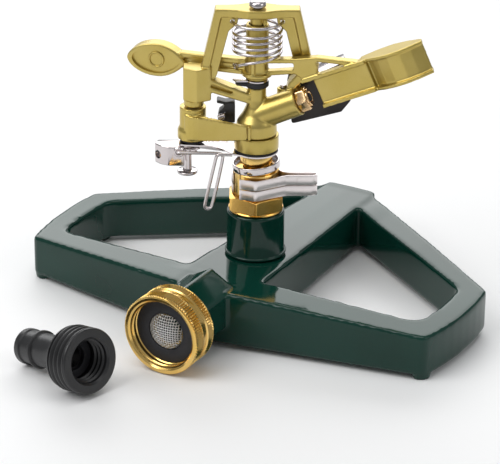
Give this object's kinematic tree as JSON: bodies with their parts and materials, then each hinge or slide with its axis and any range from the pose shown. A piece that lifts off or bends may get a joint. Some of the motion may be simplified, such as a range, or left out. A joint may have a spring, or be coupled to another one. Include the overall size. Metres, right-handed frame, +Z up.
{
  "type": "impact sprinkler",
  "caption": "Garden impact sprinkler with a sprung swinging arm, a nozzle head and a tripping part-circle gear on a cast looped base, with a hose swivel and a loose hose adapter.",
  "frame": {"origin": "on the ground, on the riser's vertical axis, at the middle of the base's centre pad", "axes": "+Z up, -Y towards the hose, +X across the base to the right as seen from the hose side"},
  "size_m": [0.186, 0.1949, 0.128],
  "materials": {
    "green_paint": "glossy dark green enamel",
    "old_gold": "satin old gold lacquer on cast metal",
    "brass": "polished",
    "chrome": "bright plated",
    "steel": "plain drawn wire and sheet",
    "screen": "woven wire screen",
    "black_plastic": "matt moulded",
    "black_rubber": "matt"
  },
  "bodies": {
    "base": {"base_casting": "green_paint", "riser_coupling": "green_paint", "hex_bush": "brass", "swivel_stem": "brass", "collar_spacer": "brass"},
    "nut": {"swivel_nut": "brass", "hose_washer": "black_rubber", "filter_screen": "screen"},
    "collar_lower": {"trip_collar_lower": "chrome"},
    "collar_upper": {"trip_collar_upper": "chrome"},
    "head": {"head_stem": "brass", "pressure_spring": "steel", "thrust_washer": "black_rubber", "bearing_sleeve": "brass", "dust_cup": "chrome", "head_washer": "black_rubber", "head_base_ring": "old_gold", "head_casting": "old_gold", "nozzle_tip": "brass", "shaft_screw": "steel", "arm_shaft": "brass", "arm_seal": "black_rubber", "arm_washer": "steel", "trip_plate": "chrome", "reversing_stop": "black_plastic", "trip_spring": "steel", "deflector_pin": "steel", "arm_spring": "steel"},
    "diffuser": {"diffuser_screw": "steel"},
    "arm": {"arm_casting": "old_gold", "arm_bushing": "brass"},
    "trip": {"trip_dog": "old_gold", "trip_washer": "black_rubber", "trip_lever": "chrome", "trip_pin": "chrome"},
    "wire": {"trip_wire": "chrome"},
    "flap": {"deflector_flap": "steel"},
    "adapter": {"hose_adapter": "black_plastic", "adapter_seal": "black_rubber"}
  },
  "joints": [
    {"name": "nut_spin", "type": "hinge", "parent": "base", "child": "nut", "pos_m": [0, -0.063, 0.0162], "axis": [0, -1, 0], "continuous": true},
    {"name": "collar_lower_turn", "type": "hinge", "parent": "base", "child": "collar_lower", "pos_m": [0, 0, 0.0517], "axis": [0, 0, 1], "range_deg": [-25, 0]},
    {"name": "collar_upper_turn", "type": "hinge", "parent": "base", "child": "collar_upper", "pos_m": [0, 0, 0.0561], "axis": [0, 0, 1], "range_deg": [0, 25]},
    {"name": "head_spin", "type": "hinge", "parent": "base", "child": "head", "pos_m": [0, 0, 0.07], "axis": [0, 0, 1], "range_deg": [-150, 90]},
    {"name": "diffuser_travel", "type": "slide", "parent": "head", "child": "diffuser", "axis": [0, 0, 1], "range_m": [0, 0.003]},
    {"name": "arm_swing", "type": "hinge", "parent": "head", "child": "arm", "pos_m": [0, 0, 0.101], "axis": [0, 0, 1], "range_deg": [-75, 0], "stiffness_Nm_per_rad": 0.02, "springref_deg": 20.05, "deforming": ["arm_spring"]},
    {"name": "trip_tip", "type": "hinge", "parent": "head", "child": "trip", "pos_m": [-0.02148, -0.0124, 0.08], "axis": [0, 0, 1], "range_deg": [-18, 0], "stiffness_Nm_per_rad": 0.01, "springref_deg": 11.46},
    {"name": "wire_flip", "type": "hinge", "parent": "trip", "child": "wire", "pos_m": [0.003, -0.0052, 0.0672], "axis": [-0.866, -0.5, 0], "range_deg": [0, 100]},
    {"name": "flap_tilt", "type": "hinge", "parent": "head", "child": "flap", "pos_m": [0.01264, 0.0073, 0.0936], "axis": [-0.5, 0.866, 0], "range_deg": [-10, 18]},
    {"name": "adapter_lift", "type": "slide", "parent": "base", "child": "adapter", "axis": [0, 0, 1], "range_m": [0, 0.04]}
  ]
}
